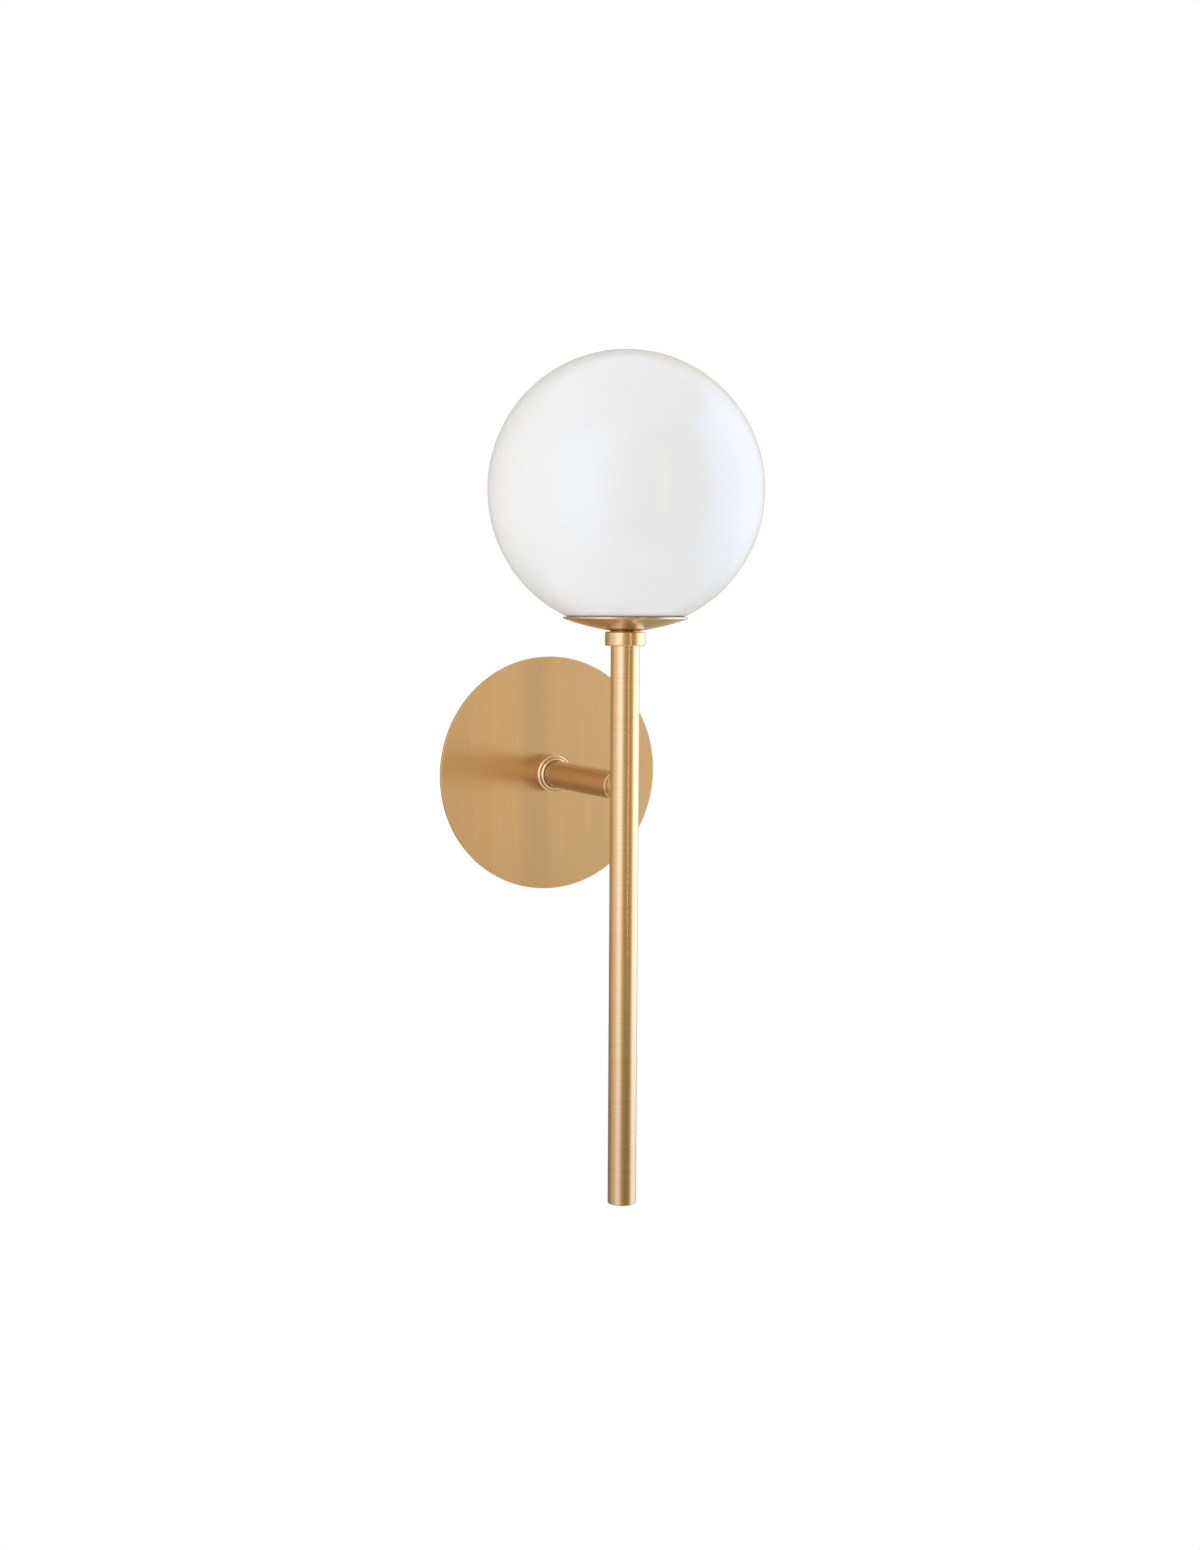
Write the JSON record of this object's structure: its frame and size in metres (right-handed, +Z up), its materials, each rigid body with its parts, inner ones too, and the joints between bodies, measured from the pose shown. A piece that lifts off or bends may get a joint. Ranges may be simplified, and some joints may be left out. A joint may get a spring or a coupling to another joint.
{
  "type": "globe wall sconce",
  "caption": "Wall light with an opal glass globe on a shallow dish above a slim upright stem, held out from a round backplate by a level arm.",
  "frame": {"origin": "on the arm's axis in the wall plane, which is the backplate's back face", "axes": "-Y out of the wall into the room, +Z up, +X to the right as seen from the room"},
  "size_m": [0.15, 0.1968, 0.4685],
  "materials": {
    "satin_brass": "satin brushed and lacquered",
    "plain_brass": "turned",
    "zinc_steel": "zinc plated",
    "green_screw": "green dyed",
    "opal_glass": "blown opal, glossy",
    "lamp_glass": "frosted",
    "white_plastic": "moulded",
    "black_phenolic": "moulded",
    "clear_silicone": "matt",
    "nickel_plate": "nickel plated",
    "solder": "dull",
    "vitrite": "glossy black glass",
    "phosphor_strip": "coated",
    "live_insulation": "extruded",
    "neutral_insulation": "extruded"
  },
  "bodies": {
    "fixture": {"mounting_strap": "zinc_steel", "strap_nipple": "zinc_steel", "strap_front_nut": "zinc_steel", "strap_lock_washer": "zinc_steel", "strap_back_nut": "zinc_steel", "ground_screw": "green_screw", "terminal_block": "white_plastic", "terminal_inserts": "plain_brass", "terminal_clamp_screws": "zinc_steel", "terminal_fixing_screw": "zinc_steel", "arm_tube": "satin_brass", "arm_wall_bush": "plain_brass", "arm_end_bush": "plain_brass", "cross_nipple": "zinc_steel", "stem_tube": "satin_brass", "stem_core": "plain_brass", "stem_bottom_plug": "satin_brass", "stem_top_bush": "plain_brass", "top_ring": "satin_brass", "fixture_nipple": "zinc_steel", "fitter_dish": "satin_brass", "globe_carrier": "plain_brass", "carrier_washer": "zinc_steel", "nipple_nut": "zinc_steel", "holder_cap": "black_phenolic", "holder_body": "black_phenolic", "holder_insert": "white_plastic", "holder_terminal_screws": "zinc_steel", "holder_screw_shell": "plain_brass", "live_lead": "live_insulation", "neutral_lead": "neutral_insulation"},
    "backplate": {"backplate": "satin_brass"},
    "collar": {"slip_collar": "satin_brass", "collar_grub_screw": "zinc_steel"},
    "gasket": {"globe_gasket": "clear_silicone"},
    "globe": {"globe_glass": "opal_glass", "globe_ring": "plain_brass", "ring_cement": "clear_silicone"},
    "contact": {"centre_contact": "plain_brass"},
    "lamp": {"bulb_cap": "nickel_plate", "bulb_insulator": "vitrite", "bulb_tip": "solder", "bulb_collar": "white_plastic", "bulb_glass": "lamp_glass", "bulb_stem": "white_plastic", "led_filaments": "phosphor_strip"}
  },
  "joints": [
    {"name": "backplate_slide", "type": "slide", "parent": "fixture", "child": "backplate", "axis": [0, -1, 0], "range_m": [0, 0.075]},
    {"name": "collar_spin", "type": "hinge", "parent": "backplate", "child": "collar", "pos_m": [0, 0, 0], "axis": [0, -1, 0], "continuous": true},
    {"name": "globe_lift", "type": "slide", "parent": "fixture", "child": "gasket", "axis": [0, 0, 1], "range_m": [0, 0.009]},
    {"name": "globe_turn", "type": "hinge", "parent": "gasket", "child": "globe", "pos_m": [0, -0.102, 0], "axis": [0, 0, 1], "range_deg": [0, 540]},
    {"name": "contact_rise", "type": "slide", "parent": "fixture", "child": "contact", "axis": [0, 0, 1], "range_m": [0, 0.0015]},
    {"name": "lamp_turn", "type": "hinge", "parent": "contact", "child": "lamp", "pos_m": [0, -0.102, 0], "axis": [0, 0, 1], "range_deg": [0, 150]}
  ],
  "couplings": [
    {"joint": "globe_lift", "follows": "globe_turn", "m_per_rad": 0.00095493},
    {"joint": "contact_rise", "follows": "lamp_turn", "m_per_rad": 0.00057296}
  ]
}
